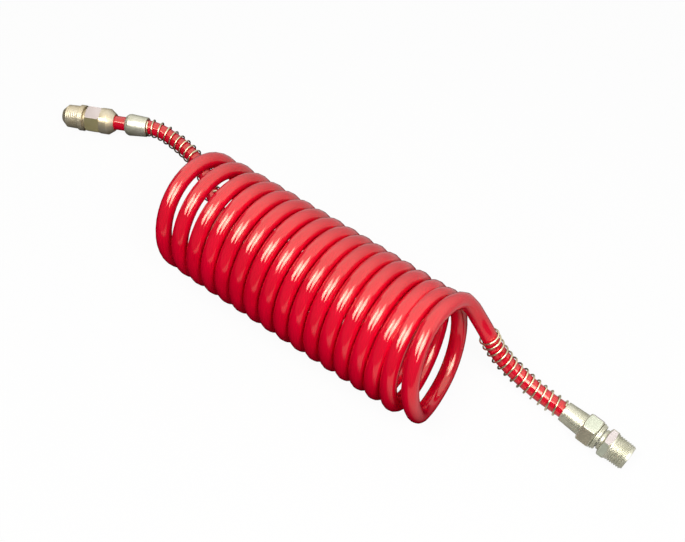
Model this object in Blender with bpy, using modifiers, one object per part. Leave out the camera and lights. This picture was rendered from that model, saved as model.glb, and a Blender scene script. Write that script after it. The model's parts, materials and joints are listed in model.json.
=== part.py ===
"""Coiled air brake hose: a red nylon tube wound into a coil, with a fixed fitting at end A, a
swivel fitting at end B, and a wire spring guard with its collar at each end.

Metres, +Z up, the coil lying on the ground with its axis along X. End A is at -X, end B at +X.
Each fitting is drawn in a frame of its own: the origin at the tip of its pipe thread, +Z from the
tip back towards the hose. Stations and lengths along a fitting are distances from that tip.
"""

import math

import bmesh
import bpy
from mathutils import Vector
from mathutils.geometry import interpolate_bezier

# Hose
TUBE_OD = 0.0127
TUBE_ID = 0.0095
COIL_MEAN_DIAMETER = 0.0889
COIL_TURNS = 17
COIL_PITCH = 0.0143
COIL_VALLEY = 0.0023
COIL_LEFT_X = -0.0963
COIL_AXIS_Y = -0.0122
LEAD_A_ANGLE = math.radians(28.0)
LEAD_B_ANGLE = math.radians(113.0)
LEAD_POINT_SPACING = 0.0066

# Gaps between pieces
GAP = 0.0003
TUBE_CLEARANCE = 0.0003
SEAL_CLEARANCE = 0.00025
GUARD_CLEARANCE = 0.0006

# Half-inch tapered pipe thread, the same on both ends
PIPE_THREAD_OD = 0.0213
PIPE_THREAD_TAPER = 1.0 / 16.0
HEX_ACROSS_FLATS = 0.0222
HEX_CHAMFER_ANGLE = math.radians(30.0)
HEX_FACE_STEP = 0.0001
FITTING_BORE = 0.0096
EDGE_BREAK = 0.0004
MOUTH_CHAMFER = 0.0006

# Fixed fitting, end A
END_A_BESIDE_COIL = (0.1901, 0.0282)
END_A_HEADING = math.radians(25.5)
THREAD_A_LENGTH = 0.0157
THREAD_A_NOSE_LENGTH = 0.0044
THREAD_A_NOSE_OD = 0.0124
FLANGE_A_OD = 0.0236
FLANGE_A_LENGTH = 0.0047
RELIEF_A_LENGTH = 0.0024
NUT_A_HEX_LENGTH = 0.0139
NUT_A_SKIRT_LENGTH = 0.0124
NUT_A_SKIRT_OD = 0.0236
NUT_A_TURN = math.radians(7.0)
NUT_A_NOSE_LENGTH = 0.0054
NUT_A_NOSE_OD = 0.0158
BODY_A_TAIL_OD = 0.0178
BODY_A_TAIL_LENGTH = 0.0134
SOCKET_A_DEPTH = 0.0072
FERRULE_A_LENGTH = 0.0031
FERRULE_A_OD = 0.0172

# Swivel fitting, end B
END_B_BESIDE_COIL = (0.1413, 0.0339)
END_B_HEADING = math.radians(174.3)
THREAD_B_LENGTH = 0.0147
THREAD_B_NOSE_LENGTH = 0.0015
THREAD_B_NOSE_OD = 0.0180
STEM_HEX_LENGTH = 0.0063
STEM_NECK_LENGTH = 0.0020
STEM_NECK_OD = 0.0168
WASHER_THICKNESS = 0.0006
WASHER_OD = 0.0150
JOURNAL_OD = 0.0122
JOURNAL_LENGTH = 0.0066
JOURNAL_BORE = 0.0068
WIRE_GROOVE_WIDTH = 0.0016
WIRE_GROOVE_DEPTH = 0.0008
RETAINING_WIRE_DIAMETER = 0.0011
RETAINING_WIRE_OPENING = math.radians(24.0)
SEAL_GROOVE_WIDTH = 0.0018
SEAL_GROOVE_DEPTH = 0.0015
SEAL_SECTION = 0.0013
LAND_LENGTH = 0.0007
SWIVEL_HEAD_OD = 0.0204
SWIVEL_RIDGE_OD = 0.0216
SWIVEL_RIDGE_LENGTH = 0.0013
SWIVEL_HEAD_LENGTH = 0.0030
SWIVEL_WEB = 0.0008
SOCKET_B_DEPTH = 0.0018
SWIVEL_TAIL_OD = 0.0166
NUT_B_LENGTH = 0.0118
NUT_B_RECESS_DEPTH = 0.0030
NUT_B_WEB = 0.0010
FERRULE_B_LENGTH = 0.0016
FERRULE_B_OD = 0.0158

# Ferrules and tube inserts
FERRULE_CONE = 0.0006
INSERT_FLANGE = 0.0006
INSERT_WALL = 0.0008
INSERT_A_LENGTH = 0.0144
INSERT_B_LENGTH = 0.0120

# Spring guards and their collars
COLLAR_LENGTH = 0.0200
COLLAR_BORE_LENGTH = 0.0120
COLLAR_RELIEF = 0.0006
COLLAR_A_LARGE_OD = 0.0200
COLLAR_A_SMALL_OD = 0.0178
COLLAR_A_NOSE_LENGTH = 0.0035
COLLAR_A_NOSE_OD = 0.0160
COLLAR_A_BACKED_OFF = 0.0110
COLLAR_B_LARGE_OD = 0.0184
COLLAR_B_SMALL_OD = 0.0162
COLLAR_B_NOSE_LENGTH = 0.0004
COLLAR_B_NOSE_OD = 0.0176
GUARD_WIRE = 0.0014
GUARD_A_TURNS = 15
GUARD_B_TURNS = 13
GUARD_A_LENGTH = 0.1060
GUARD_B_LENGTH = 0.0850
GUARD_POINTS_PER_TURN = 10
STRAIGHT_TUBE_PAST_COLLAR = 0.0020
STRAIGHT_TUBE_AT_COIL = 0.0030

# Round parts are drawn with this many flats
COIL_SEGMENTS = 32
FITTING_SEGMENTS = 32
SMALL_SEGMENTS = 24

# Sizes that follow from the ones above
TUBE_RADIUS = TUBE_OD / 2
COIL_RADIUS = COIL_MEAN_DIAMETER / 2
COIL_LENGTH = COIL_TURNS * COIL_PITCH
COIL_AXIS_Z = COIL_RADIUS + TUBE_RADIUS
TUBE_HOLE = TUBE_RADIUS + TUBE_CLEARANCE
HEX_CORNER = HEX_ACROSS_FLATS / math.sqrt(3.0)
GUARD_RADIUS = TUBE_RADIUS + GUARD_CLEARANCE + GUARD_WIRE / 2
GUARD_OUTER = GUARD_RADIUS + GUARD_WIRE / 2
END_A_HEIGHT = FLANGE_A_OD / 2
END_B_HEIGHT = HEX_ACROSS_FLATS / 2

# Stations of end A, from the tip
FLANGE_A_START = THREAD_A_LENGTH
FLANGE_A_END = FLANGE_A_START + FLANGE_A_LENGTH
NUT_A_START = FLANGE_A_END + RELIEF_A_LENGTH
NUT_A_SKIRT_START = NUT_A_START + NUT_A_HEX_LENGTH
NUT_A_END = NUT_A_SKIRT_START + NUT_A_SKIRT_LENGTH
BODY_A_END = NUT_A_START + BODY_A_TAIL_LENGTH
SOCKET_A_START = BODY_A_END - SOCKET_A_DEPTH
INSERT_A_START = SOCKET_A_START + GAP
TUBE_A_END = INSERT_A_START + INSERT_FLANGE + GAP
FERRULE_A_START = BODY_A_END + GAP
FERRULE_A_END = FERRULE_A_START + FERRULE_A_LENGTH
COLLAR_A_START = NUT_A_END + COLLAR_A_BACKED_OFF
COLLAR_A_END = COLLAR_A_START + COLLAR_LENGTH

# Stations of end B, from the tip
STEM_HEX_END = THREAD_B_LENGTH + STEM_HEX_LENGTH
JOURNAL_START = STEM_HEX_END + STEM_NECK_LENGTH
JOURNAL_END = JOURNAL_START + JOURNAL_LENGTH
WASHER_START = JOURNAL_START + SEAL_CLEARANCE
SWIVEL_START = WASHER_START + WASHER_THICKNESS + SEAL_CLEARANCE
WIRE_GROOVE_START = SWIVEL_START + LAND_LENGTH
SEAL_GROOVE_START = WIRE_GROOVE_START + WIRE_GROOVE_WIDTH + LAND_LENGTH
SWIVEL_HEAD_END = SWIVEL_START + SWIVEL_HEAD_LENGTH
NUT_B_START = SWIVEL_HEAD_END + GAP
NUT_B_END = NUT_B_START + NUT_B_LENGTH
NUT_B_RECESS_START = NUT_B_END - NUT_B_RECESS_DEPTH
SOCKET_B_START = JOURNAL_END + GAP + SWIVEL_WEB
SWIVEL_END = SOCKET_B_START + SOCKET_B_DEPTH
INSERT_B_START = SOCKET_B_START + GAP
TUBE_B_END = INSERT_B_START + INSERT_FLANGE + GAP
FERRULE_B_START = SWIVEL_END + GAP
FERRULE_B_END = FERRULE_B_START + FERRULE_B_LENGTH
COLLAR_B_START = NUT_B_RECESS_START + GAP
COLLAR_B_END = COLLAR_B_START + COLLAR_LENGTH

# Routes of the two leads between the straight tube and the coil: how far each point lies past the
# coil's face, to the side of its axis and above the ground
LEAD_A_ROUTE = (
    (0.1035, 0.0667, 0.0110),
    (0.0915, 0.0672, 0.0092),
    (0.0760, 0.0656, 0.0086),
    (0.0580, 0.0611, 0.0086),
    (0.0430, 0.0547, 0.0086),
    (0.0240, 0.0422, 0.0087),
    (0.0120, 0.0300, 0.0098),
)
LEAD_B_ROUTE = (
    (0.0654, 0.0398, 0.0135),
    (0.0486, 0.0400, 0.0190),
    (0.0316, 0.0397, 0.0281),
    (0.0182, 0.0395, 0.0400),
    (0.0095, 0.0393, 0.0525),
)


def material(name, color, roughness, metallic):
    """Return a Principled material."""
    made = bpy.data.materials.new(name)
    made.use_nodes = True
    shader = made.node_tree.nodes["Principled BSDF"]
    shader.inputs["Base Color"].default_value = (*color, 1.0)
    shader.inputs["Roughness"].default_value = roughness
    shader.inputs["Metallic"].default_value = metallic
    return made


def add_object(name, data, collection, parent=None):
    """Link a new object that holds data, in its parent's frame if it has one."""
    made = bpy.data.objects.new(name, data)
    collection.objects.link(made)
    made.parent = parent
    return made


def hide_cutter(cutter):
    """Mark an object as a cutter, which is no piece of the hose."""
    cutter.hide_render = True
    cutter.display_type = "WIRE"


def turned(name, outer, inner, finish, parent, segments=FITTING_SEGMENTS):
    """Turn a hollow piece about its frame's Z from two lists of (radius, station), tip end first."""
    loop = list(reversed(outer)) + list(inner)
    mesh = bpy.data.meshes.new(name)
    edges = [(i, (i + 1) % len(loop)) for i in range(len(loop))]
    mesh.from_pydata([(radius, 0.0, station) for radius, station in loop], edges, [])
    mesh.materials.append(finish)
    piece = add_object(name, mesh, parts, parent)
    screw = piece.modifiers.new("turn", "SCREW")
    screw.axis = "Z"
    screw.angle = 2.0 * math.pi
    screw.steps = segments
    screw.render_steps = segments
    screw.use_merge_vertices = True
    screw.merge_threshold = 0.00001
    screw.use_smooth_shade = True
    return piece


def prism(name, sides, radius, start, end, parent):
    """Return a cutter: a regular prism about its frame's Z, with a corner on its Y."""
    mesh = bpy.data.meshes.new(name)
    shape = bmesh.new()
    bmesh.ops.create_cone(
        shape, cap_ends=True, segments=sides, radius1=radius, radius2=radius, depth=end - start
    )
    bmesh.ops.translate(shape, verts=shape.verts, vec=(0.0, 0.0, (start + end) / 2))
    shape.to_mesh(mesh)
    shape.free()
    cutter = add_object(name, mesh, cutters, parent)
    hide_cutter(cutter)
    return cutter


def subtract(piece, cutter):
    """Cut one object out of another with an exact Boolean."""
    cut = piece.modifiers.new("cut " + cutter.name, "BOOLEAN")
    cut.operation = "DIFFERENCE"
    cut.object = cutter


def cut_hex(piece, start, end, turn=0.0):
    """Cut six flats on a turned blank between two stations, one of them facing the ground."""
    waste = prism(piece.name + "_hex_waste", 24, HEX_CORNER * 1.5, start, end, piece.parent)
    core = prism(piece.name + "_hex_core", 6, HEX_CORNER, start - GAP, end + GAP, piece.parent)
    core.rotation_euler.z = turn
    subtract(waste, core)
    subtract(piece, waste)


def hex_blank(start, end):
    """Return the turned outline of a hexagon's blank, its corners bevelled at both ends."""
    edge = HEX_ACROSS_FLATS / 2 - HEX_FACE_STEP
    drop = (HEX_CORNER - edge) * math.tan(HEX_CHAMFER_ANGLE)
    return [(edge, start), (HEX_CORNER, start + drop), (HEX_CORNER, end - drop), (edge, end)]


def pipe_thread(length, nose_length, nose_diameter):
    """Return the outline of a tapered pipe thread: its nose at the tip, then its full turns."""
    last = PIPE_THREAD_OD / 2
    first = last - PIPE_THREAD_TAPER * (length - nose_length) / 2
    return [(nose_diameter / 2, 0.0), (first, nose_length), (last, length)]


def coil_face(side):
    """Return the X of the coil's left face, for side -1, or of its right face, for side 1."""
    return COIL_LEFT_X if side < 0 else COIL_LEFT_X + COIL_LENGTH


def beside_coil(side, place):
    """Turn a distance past the coil's face, one from its axis, and any height into a place."""
    return (coil_face(side) + side * place[0], COIL_AXIS_Y + place[1], *place[2:])


def fitting_frame(name, tip, heading, height):
    """Return an empty at a fitting's tip, with +Z pointing back along the fitting."""
    frame = add_object(name, None, parts)
    frame.location = (tip[0], tip[1], height)
    frame.rotation_euler = (0.0, math.pi / 2, heading)
    return frame


def station(tip, heading, height, distance):
    """Return the world place of a station on a fitting's axis."""
    along = Vector((math.cos(heading), math.sin(heading), 0.0))
    return Vector((tip[0], tip[1], height)) + along * distance


def coil_port(angle, side):
    """Return the place on one of the coil's end faces where a lead leaves, angle from the bottom."""
    return Vector(
        (
            coil_face(side) + side * GAP,
            COIL_AXIS_Y + COIL_RADIUS * math.sin(angle),
            COIL_AXIS_Z - COIL_RADIUS * math.cos(angle),
        )
    )


def smooth_through(points, start_direction, end_direction, per_span=24):
    """Return closely spaced points of a smooth curve through the given points."""
    knots = [Vector(point) for point in points]
    before = knots[0] - start_direction * (knots[1] - knots[0]).length
    after = knots[-1] + end_direction * (knots[-1] - knots[-2]).length
    chain = [before] + knots + [after]
    curve = [knots[0]]
    for i in range(1, len(chain) - 2):
        leave = chain[i] + (chain[i + 1] - chain[i - 1]) / 6
        arrive = chain[i + 1] - (chain[i + 2] - chain[i]) / 6
        curve.extend(interpolate_bezier(chain[i], leave, arrive, chain[i + 1], per_span)[1:])
    return curve


def lengths_along(path):
    """Return the distance from the start of a path to each of its points."""
    reached = [0.0]
    for here, there in zip(path, path[1:]):
        reached.append(reached[-1] + (there - here).length)
    return reached


def at_distance(path, reached, distance):
    """Return the place and direction at a distance along a path."""
    index = 0
    while index < len(path) - 2 and reached[index + 1] < distance:
        index += 1
    step = path[index + 1] - path[index]
    share = (distance - reached[index]) / step.length
    return path[index] + step * share, step.normalized()


def resample(path, spacing):
    """Return points at equal distances along a path, near the given spacing."""
    reached = lengths_along(path)
    count = max(2, round(reached[-1] / spacing))
    return [at_distance(path, reached, reached[-1] * i / count)[0] for i in range(count + 1)]


def poly_tube(name, points, radius, resolution, finish, parent=None):
    """Return a round bar along points, as a curve object with filled caps."""
    curve = bpy.data.curves.new(name, "CURVE")
    curve.dimensions = "3D"
    curve.bevel_depth = radius
    curve.bevel_resolution = resolution
    curve.use_fill_caps = True
    spline = curve.splines.new("POLY")
    spline.points.add(len(points) - 1)
    for target, point in zip(spline.points, points):
        target.co = (*point, 1.0)
    curve.materials.append(finish)
    return add_object(name, curve, parts, parent)


def as_mesh(piece):
    """Turn a curve object into a mesh object with welded caps, and return it."""
    bpy.context.view_layer.update()
    evaluated = piece.evaluated_get(bpy.context.evaluated_depsgraph_get())
    mesh = bpy.data.meshes.new_from_object(evaluated)
    shape = bmesh.new()
    shape.from_mesh(mesh)
    bmesh.ops.remove_doubles(shape, verts=shape.verts, dist=0.000001)
    shape.to_mesh(mesh)
    shape.free()
    name = piece.name
    place = piece.matrix_world.copy()
    bpy.data.objects.remove(piece)
    made = add_object(name, mesh, parts)
    made.matrix_world = place
    return made


def make_coil(finish):
    """Make the coil as one turned ring with a rounded ridge for each turn and an open middle."""
    valley = COIL_RADIUS + COIL_VALLEY
    outer = []
    for turn in range(COIL_TURNS):
        for quarter in range(4):
            rise = (TUBE_RADIUS - COIL_VALLEY) * math.sin(math.pi * quarter / 4)
            outer.append((valley + rise, (turn + quarter / 4) * COIL_PITCH))
    outer.append((valley, COIL_LENGTH))
    bore = COIL_RADIUS - TUBE_RADIUS
    coil = turned("hose_coil", outer, [(bore, 0.0), (bore, COIL_LENGTH)], finish, None, COIL_SEGMENTS)
    coil.location = (COIL_LEFT_X, COIL_AXIS_Y, COIL_AXIS_Z)
    coil.rotation_euler.y = math.pi / 2
    return coil


def lead_path(tip, heading, height, tube_end, collar_end, route, port, side):
    """Return a lead's path from the end of the tube in its fitting to just short of the coil."""
    back = Vector((math.cos(heading), math.sin(heading), 0.0))
    start = station(tip, heading, height, tube_end)
    bend = station(tip, heading, height, collar_end + STRAIGHT_TUBE_PAST_COLLAR)
    arrive = Vector((-side, 0.0, 0.0))
    between = [beside_coil(side, point) for point in route]
    curve = smooth_through([bend, *between, port - arrive * STRAIGHT_TUBE_AT_COIL], back, arrive)
    return [start] + curve


def make_lead(name, path, port, frame, tube_end, insert_length, finish):
    """Make a lead's tube, with the open bore that its insert fits in at the fitting's end."""
    points = resample(path, LEAD_POINT_SPACING) + [port]
    lead = as_mesh(poly_tube(name, points, TUBE_RADIUS, 4, finish))
    bore_end = tube_end + insert_length + GAP
    bore = prism(name + "_bore", SMALL_SEGMENTS, TUBE_ID / 2, tube_end - GAP, bore_end, frame)
    subtract(lead, bore)
    return lead


def make_guard(name, path, start, length, turns, finish):
    """Wind a spring guard round a lead, from its collar towards the coil."""
    reached = lengths_along(path)
    count = turns * GUARD_POINTS_PER_TURN
    points = []
    for i in range(count + 1):
        centre, along = at_distance(path, reached, start + length * i / count)
        up = Vector((0.0, 0.0, 1.0))
        up = (up - along * up.dot(along)).normalized()
        side = along.cross(up)
        angle = 2.0 * math.pi * i / GUARD_POINTS_PER_TURN
        points.append(centre + (up * math.cos(angle) + side * math.sin(angle)) * GUARD_RADIUS)
    return poly_tube(name, points, GUARD_WIRE / 2, 1, finish)


def make_collar(name, frame, start, large_diameter, small_diameter, nose, finish):
    """Make a tapered collar: a sleeve on the tube, with a nose towards the fitting."""
    nose_length, nose_diameter = nose
    end = start + COLLAR_LENGTH
    step = end - COLLAR_BORE_LENGTH
    large = large_diameter / 2
    small = small_diameter / 2
    relief = TUBE_HOLE + COLLAR_RELIEF
    outer = [
        (nose_diameter / 2, start),
        (large, start + nose_length),
        (small, end - EDGE_BREAK),
        (small - EDGE_BREAK, end),
    ]
    inner = [(relief, start), (relief, step), (TUBE_HOLE, step + COLLAR_RELIEF), (TUBE_HOLE, end)]
    return turned(name, outer, inner, finish, frame)


def make_insert(name, frame, start, length, finish):
    """Make a tube insert: a thin sleeve inside the tube, with a flange against the tube's end."""
    sleeve = TUBE_ID / 2 - TUBE_CLEARANCE
    flange_end = start + INSERT_FLANGE
    end = start + INSERT_FLANGE + GAP + length
    outer = [(TUBE_RADIUS, start), (TUBE_RADIUS, flange_end), (sleeve, flange_end), (sleeve, end)]
    hole = sleeve - INSERT_WALL
    inner = [(hole, start), (hole, end)]
    return turned(name, outer, inner, finish, frame, SMALL_SEGMENTS)


def make_ferrule(name, frame, start, length, diameter, finish):
    """Make a ferrule: the ring that a nut squeezes onto the tube."""
    radius = diameter / 2
    nose = (radius + TUBE_HOLE) / 2
    outer = [
        (nose, start),
        (radius, start + FERRULE_CONE),
        (radius, start + length - FERRULE_CONE),
        (nose, start + length),
    ]
    inner = [(TUBE_HOLE, start), (TUBE_HOLE, start + length)]
    return turned(name, outer, inner, finish, frame, SMALL_SEGMENTS)


def make_end_a(frame, plated, brass):
    """Make the fixed fitting: body, nut, ferrule and insert."""
    flange = FLANGE_A_OD / 2
    tail = BODY_A_TAIL_OD / 2
    outer = pipe_thread(THREAD_A_LENGTH, THREAD_A_NOSE_LENGTH, THREAD_A_NOSE_OD) + [
        (flange - EDGE_BREAK, FLANGE_A_START),
        (flange, FLANGE_A_START + EDGE_BREAK),
        (flange, FLANGE_A_END - EDGE_BREAK),
        (flange - EDGE_BREAK, FLANGE_A_END),
        (tail, FLANGE_A_END),
        (tail, BODY_A_END),
    ]
    inner = [
        (FITTING_BORE / 2, 0.0),
        (FITTING_BORE / 2, SOCKET_A_START),
        (TUBE_HOLE, SOCKET_A_START),
        (TUBE_HOLE, BODY_A_END - MOUTH_CHAMFER),
        (TUBE_HOLE + MOUTH_CHAMFER, BODY_A_END),
    ]
    turned("npt_body_a", outer, inner, plated, frame)

    skirt = NUT_A_SKIRT_OD / 2
    chamber = tail + GAP
    seat = FERRULE_A_END + GAP
    outer = hex_blank(NUT_A_START, NUT_A_SKIRT_START) + [
        (skirt, NUT_A_SKIRT_START),
        (skirt, NUT_A_END - NUT_A_NOSE_LENGTH),
        (NUT_A_NOSE_OD / 2, NUT_A_END),
    ]
    inner = [
        (chamber, NUT_A_START),
        (chamber, seat - MOUTH_CHAMFER),
        (TUBE_HOLE, seat + MOUTH_CHAMFER),
        (TUBE_HOLE, NUT_A_END),
    ]
    nut = turned("nut_a", outer, inner, plated, frame)
    cut_hex(nut, NUT_A_START - GAP, NUT_A_SKIRT_START, NUT_A_TURN)

    make_ferrule("ferrule_a", frame, FERRULE_A_START, FERRULE_A_LENGTH, FERRULE_A_OD, brass)
    make_insert("tube_insert_a", frame, INSERT_A_START, INSERT_A_LENGTH, brass)


def make_stem(frame, plated):
    """Make the swivel's stem: pipe thread, hexagon, neck, and a journal with its two grooves."""
    journal = JOURNAL_OD / 2
    wire_end = WIRE_GROOVE_START + WIRE_GROOVE_WIDTH
    seal_end = SEAL_GROOVE_START + SEAL_GROOVE_WIDTH
    outer = (
        pipe_thread(THREAD_B_LENGTH, THREAD_B_NOSE_LENGTH, THREAD_B_NOSE_OD)
        + hex_blank(THREAD_B_LENGTH, STEM_HEX_END)
        + [
            (STEM_NECK_OD / 2, STEM_HEX_END),
            (STEM_NECK_OD / 2, JOURNAL_START),
            (journal, JOURNAL_START),
            (journal, WIRE_GROOVE_START),
            (journal - WIRE_GROOVE_DEPTH, WIRE_GROOVE_START),
            (journal - WIRE_GROOVE_DEPTH, wire_end),
            (journal, wire_end),
            (journal, SEAL_GROOVE_START),
            (journal - SEAL_GROOVE_DEPTH, SEAL_GROOVE_START),
            (journal - SEAL_GROOVE_DEPTH, seal_end),
            (journal, seal_end),
            (journal, JOURNAL_END),
        ]
    )
    inner = [
        (FITTING_BORE / 2, 0.0),
        (FITTING_BORE / 2, STEM_HEX_END - MOUTH_CHAMFER),
        (JOURNAL_BORE / 2, STEM_HEX_END),
        (JOURNAL_BORE / 2, JOURNAL_END),
    ]
    stem = turned("swivel_stem_b", outer, inner, plated, frame)
    cut_hex(stem, THREAD_B_LENGTH, STEM_HEX_END)


def make_swivel_seals(frame, rubber, wire, acetal):
    """Make what sits between the stem and the swivel body: washer, O-ring and retaining wire."""
    washer_end = WASHER_START + WASHER_THICKNESS
    hole = JOURNAL_OD / 2 + SEAL_CLEARANCE
    rim = WASHER_OD / 2
    turned(
        "thrust_washer_b",
        [(rim, WASHER_START), (rim, washer_end)],
        [(hole, WASHER_START), (hole, washer_end)],
        acetal,
        frame,
        SMALL_SEGMENTS,
    )

    groove_root = JOURNAL_OD / 2 - SEAL_GROOVE_DEPTH
    bpy.ops.mesh.primitive_torus_add(
        major_segments=SMALL_SEGMENTS,
        minor_segments=10,
        major_radius=groove_root + SEAL_CLEARANCE + SEAL_SECTION / 2,
        minor_radius=SEAL_SECTION / 2,
    )
    seal = bpy.context.object
    seal.name = "o_ring_b"
    seal.data.name = "o_ring_b"
    seal.data.materials.append(rubber)
    for collection in list(seal.users_collection):
        collection.objects.unlink(seal)
    parts.objects.link(seal)
    seal.parent = frame
    seal.location = (0.0, 0.0, SEAL_GROOVE_START + SEAL_GROOVE_WIDTH / 2)

    middle = JOURNAL_OD / 2 + SEAL_CLEARANCE / 2
    place = WIRE_GROOVE_START + WIRE_GROOVE_WIDTH / 2
    sweep = 2.0 * math.pi - RETAINING_WIRE_OPENING
    points = []
    for i in range(SMALL_SEGMENTS + 1):
        angle = (RETAINING_WIRE_OPENING + sweep * 2 * i / SMALL_SEGMENTS) / 2
        points.append((middle * math.cos(angle), middle * math.sin(angle), place))
    poly_tube("retaining_wire_b", points, RETAINING_WIRE_DIAMETER / 2, 1, wire, frame)


def make_swivel_body(frame, plated):
    """Make the swivel body: the head that the stem turns in, and the tail that holds the tube."""
    head = SWIVEL_HEAD_OD / 2
    ridge = SWIVEL_RIDGE_OD / 2
    ridge_start = SWIVEL_HEAD_END - SWIVEL_RIDGE_LENGTH
    tail = SWIVEL_TAIL_OD / 2
    socket = JOURNAL_OD / 2 + SEAL_CLEARANCE
    groove = socket + WIRE_GROOVE_DEPTH
    wire_end = WIRE_GROOVE_START + WIRE_GROOVE_WIDTH
    socket_end = JOURNAL_END + GAP
    outer = [
        (head - EDGE_BREAK, SWIVEL_START),
        (head, SWIVEL_START + EDGE_BREAK),
        (head, ridge_start),
        (ridge, ridge_start + EDGE_BREAK),
        (ridge, SWIVEL_HEAD_END),
        (tail, SWIVEL_HEAD_END),
        (tail, SWIVEL_END),
    ]
    inner = [
        (socket, SWIVEL_START),
        (socket, WIRE_GROOVE_START),
        (groove, WIRE_GROOVE_START),
        (groove, wire_end),
        (socket, wire_end),
        (socket, socket_end),
        (JOURNAL_BORE / 2, socket_end),
        (JOURNAL_BORE / 2, SOCKET_B_START),
        (TUBE_HOLE, SOCKET_B_START),
        (TUBE_HOLE, SWIVEL_END - MOUTH_CHAMFER),
        (TUBE_HOLE + MOUTH_CHAMFER, SWIVEL_END),
    ]
    turned("swivel_body_b", outer, inner, plated, frame)


def make_nut_b(frame, plated):
    """Make the swivel end's nut: a hexagon with a recess that the collar is pushed into."""
    chamber = SWIVEL_TAIL_OD / 2 + GAP
    recess = COLLAR_B_LARGE_OD / 2 + GAP
    web_start = NUT_B_RECESS_START - NUT_B_WEB
    outer = hex_blank(NUT_B_START, NUT_B_END)
    inner = [
        (chamber, NUT_B_START),
        (chamber, web_start - MOUTH_CHAMFER),
        (TUBE_HOLE, web_start),
        (TUBE_HOLE, NUT_B_RECESS_START),
        (recess, NUT_B_RECESS_START),
        (recess, NUT_B_END),
    ]
    nut = turned("nut_b", outer, inner, plated, frame)
    cut_hex(nut, NUT_B_START - GAP, NUT_B_END + GAP)


for leftover in list(bpy.data.objects):
    bpy.data.objects.remove(leftover)

parts = bpy.data.collections.new("coiled_air_brake_hose")
cutters = bpy.data.collections.new("cutters")
bpy.context.scene.collection.children.link(parts)
bpy.context.scene.collection.children.link(cutters)

nylon = material("red nylon", (0.74, 0.0, 0.012), 0.25, 0.0)
plated_steel = material("yellow zinc plated steel", (0.52, 0.48, 0.33), 0.3, 1.0)
spring_steel = material("plated spring wire", (0.55, 0.5, 0.4), 0.3, 1.0)
brass_finish = material("brass", (0.7, 0.52, 0.22), 0.3, 1.0)
seal_rubber = material("black rubber", (0.02, 0.02, 0.02), 0.6, 0.0)
white_acetal = material("white acetal", (0.75, 0.75, 0.72), 0.45, 0.0)

make_coil(nylon)

tip_a = beside_coil(-1, END_A_BESIDE_COIL)
tip_b = beside_coil(1, END_B_BESIDE_COIL)
end_a = fitting_frame("end_a_frame", tip_a, END_A_HEADING, END_A_HEIGHT)
end_b = fitting_frame("end_b_frame", tip_b, END_B_HEADING, END_B_HEIGHT)
bpy.context.view_layer.update()

port_a = coil_port(LEAD_A_ANGLE, -1)
port_b = coil_port(LEAD_B_ANGLE, 1)
path_a = lead_path(
    tip_a, END_A_HEADING, END_A_HEIGHT, TUBE_A_END, COLLAR_A_END, LEAD_A_ROUTE, port_a, -1
)
path_b = lead_path(
    tip_b, END_B_HEADING, END_B_HEIGHT, TUBE_B_END, COLLAR_B_END, LEAD_B_ROUTE, port_b, 1
)
make_lead("hose_lead_a", path_a, port_a, end_a, TUBE_A_END, INSERT_A_LENGTH, nylon)
make_lead("hose_lead_b", path_b, port_b, end_b, TUBE_B_END, INSERT_B_LENGTH, nylon)

make_end_a(end_a, plated_steel, brass_finish)
make_collar(
    "collar_a",
    end_a,
    COLLAR_A_START,
    COLLAR_A_LARGE_OD,
    COLLAR_A_SMALL_OD,
    (COLLAR_A_NOSE_LENGTH, COLLAR_A_NOSE_OD),
    plated_steel,
)
guard_a_start = COLLAR_A_END - TUBE_A_END + GAP + GUARD_WIRE / 2
make_guard("spring_guard_a", path_a, guard_a_start, GUARD_A_LENGTH, GUARD_A_TURNS, spring_steel)

make_stem(end_b, plated_steel)
make_swivel_seals(end_b, seal_rubber, spring_steel, white_acetal)
make_swivel_body(end_b, plated_steel)
make_nut_b(end_b, plated_steel)
make_ferrule("ferrule_b", end_b, FERRULE_B_START, FERRULE_B_LENGTH, FERRULE_B_OD, brass_finish)
make_insert("tube_insert_b", end_b, INSERT_B_START, INSERT_B_LENGTH, brass_finish)
make_collar(
    "collar_b",
    end_b,
    COLLAR_B_START,
    COLLAR_B_LARGE_OD,
    COLLAR_B_SMALL_OD,
    (COLLAR_B_NOSE_LENGTH, COLLAR_B_NOSE_OD),
    plated_steel,
)
guard_b_start = COLLAR_B_END - TUBE_B_END + GAP + GUARD_WIRE / 2
make_guard("spring_guard_b", path_b, guard_b_start, GUARD_B_LENGTH, GUARD_B_TURNS, spring_steel)
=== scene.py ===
"""Coiled air brake hose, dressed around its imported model.

A red nylon tube is wound into a coil. Its left lead ends in a fixed pipe fitting and its right
lead in a swivel fitting, and each lead has a wire spring guard held by a tapered collar.

Every length is in metres. A fitting is drawn in its own frame first: +Z runs from the tip of its
pipe thread back towards the hose, so a station is a distance from that tip.
"""

from __future__ import annotations

import json
import logging
import math
from dataclasses import dataclass, field
from enum import Enum

import bpy
from mathutils import Matrix, Vector
from mathutils.geometry import interpolate_bezier

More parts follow.
